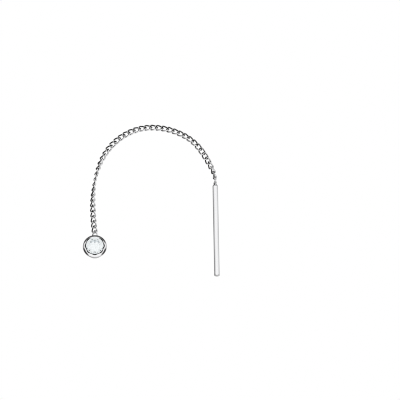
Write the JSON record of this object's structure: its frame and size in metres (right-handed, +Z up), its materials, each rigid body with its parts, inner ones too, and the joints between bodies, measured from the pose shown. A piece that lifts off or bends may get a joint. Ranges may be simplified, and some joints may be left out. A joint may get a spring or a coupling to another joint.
{
  "type": "threader earring",
  "caption": "Threader earring lying flat: a slim straight bar on a fine curb chain that arches over and ends in a round faceted stone in a tapered, rubbed-over cup.",
  "frame": {"origin": "centre of the flat back of the stone's cup, on the surface that the earring lies on", "axes": "+Z up, out of the stone's table; +Y the way the chain leaves the cup; +X towards the bar, whose free end points along -Y"},
  "size_m": [0.0249, 0.0294, 0.0027],
  "materials": {
    "silver": "polished",
    "stone": "faceted, clear"
  },
  "bodies": {
    "root": {"threader_bar": "silver", "bezel_cup": "silver", "stone": "stone", "chain_link_01": "silver", "chain_link_02": "silver", "chain_link_03": "silver", "chain_link_04": "silver", "chain_link_05": "silver", "chain_link_06": "silver", "chain_link_07": "silver", "chain_link_08": "silver", "chain_link_09": "silver", "chain_link_10": "silver", "chain_link_11": "silver", "chain_link_12": "silver", "chain_link_13": "silver", "chain_link_14": "silver", "chain_link_15": "silver", "chain_link_16": "silver", "chain_link_17": "silver", "chain_link_18": "silver", "chain_link_19": "silver", "chain_link_20": "silver", "chain_link_21": "silver", "chain_link_22": "silver", "chain_link_23": "silver", "chain_link_24": "silver", "chain_link_25": "silver", "chain_link_26": "silver", "chain_link_27": "silver", "chain_link_28": "silver", "chain_link_29": "silver", "chain_link_30": "silver", "chain_link_31": "silver", "chain_link_32": "silver", "chain_link_33": "silver", "chain_link_34": "silver", "chain_link_35": "silver", "chain_link_36": "silver", "chain_link_37": "silver", "chain_link_38": "silver", "chain_link_39": "silver", "chain_link_40": "silver", "chain_link_41": "silver"}
  },
  "joints": []
}
